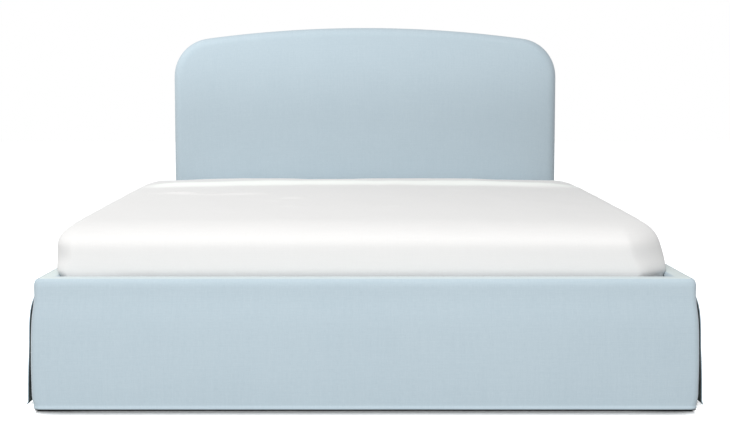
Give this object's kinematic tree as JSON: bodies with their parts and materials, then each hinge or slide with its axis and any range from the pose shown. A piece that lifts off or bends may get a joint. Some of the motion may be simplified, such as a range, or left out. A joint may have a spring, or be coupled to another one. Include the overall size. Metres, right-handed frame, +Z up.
{
  "type": "upholstered panel bed",
  "caption": "Upholstered bed with an arched headboard, padded side rails, a skirt to the floor with corner kick pleats, a slatted base and a mattress in a white fitted sheet.",
  "frame": {"origin": "on the floor, at the middle of the bed's whole width and length", "axes": "+X across the bed, -Y towards the foot that the picture shows, +Y towards the headboard, +Z up"},
  "size_m": [1.781, 2.167, 1.11],
  "materials": {
    "upholstery": "pale blue-grey flat-woven upholstery cloth, matt",
    "lining": "dark grey-blue lining cloth, matt",
    "padding": "cream polyether foam, open cell",
    "sheet": "white cotton jersey, matt",
    "ticking": "white knitted ticking",
    "webbing": "natural cotton tape",
    "hook_tape": "nylon hook and loop tape",
    "pine": "planed pine, unfinished",
    "birch": "birch plywood, sanded",
    "zinc": "bright zinc-plated steel",
    "glide": "black polyethylene"
  },
  "bodies": {
    "frame": {"foot_board": "pine", "left_side_board": "pine", "right_side_board": "pine", "head_board": "pine", "foot_rail_padding": "padding", "left_rail_padding": "padding", "right_rail_padding": "padding", "foot_rail_cloth": "upholstery", "left_rail_cloth": "upholstery", "right_rail_cloth": "upholstery", "foot_skirt": "upholstery", "left_skirt": "upholstery", "right_skirt": "upholstery", "left_corner_pleat": "lining", "right_corner_pleat": "lining", "skirt_tape": "hook_tape", "foot_left_leg": "pine", "foot_right_leg": "pine", "head_left_leg": "pine", "head_right_leg": "pine", "floor_glides": "glide", "leg_bolts": "zinc", "t_nuts": "zinc", "left_ledger": "pine", "right_ledger": "pine", "centre_beam": "pine", "beam_hangers": "zinc", "wood_screws": "zinc", "slat_01": "pine", "slat_02": "pine", "slat_03": "pine", "slat_04": "pine", "slat_05": "pine", "slat_06": "pine", "slat_07": "pine", "slat_08": "pine", "slat_09": "pine", "slat_10": "pine", "slat_11": "pine", "slat_12": "pine", "slat_webbing": "webbing", "centre_leg_foot": "pine", "centre_leg_head": "pine", "leg_inserts": "zinc", "headboard_cloth": "upholstery", "headboard_foam": "padding", "headboard_spacers": "pine", "headboard_panel": "birch", "headboard_left_stile": "pine", "headboard_right_stile": "pine", "headboard_low_crossbar": "pine", "headboard_high_crossbar": "pine", "headboard_back_cloth": "lining", "headboard_bolts": "zinc"},
    "mattress": {"mattress_support_foam": "padding", "mattress_comfort_foam": "padding", "mattress_ticking": "ticking", "fitted_sheet": "sheet"},
    "foot_end_screw_foot": {"screw_foot_foot": "glide"},
    "head_end_screw_foot": {"screw_foot_head": "glide"}
  },
  "joints": [
    {"name": "mattress_lift", "type": "slide", "parent": "frame", "child": "mattress", "axis": [0, 0, 1], "range_m": [0, 0.5]},
    {"name": "foot_end_screw_foot_turn", "type": "slide", "parent": "frame", "child": "foot_end_screw_foot", "axis": [0, 0, 1], "range_m": [-0.015, 0]},
    {"name": "head_end_screw_foot_turn", "type": "slide", "parent": "frame", "child": "head_end_screw_foot", "axis": [0, 0, 1], "range_m": [-0.015, 0]}
  ]
}
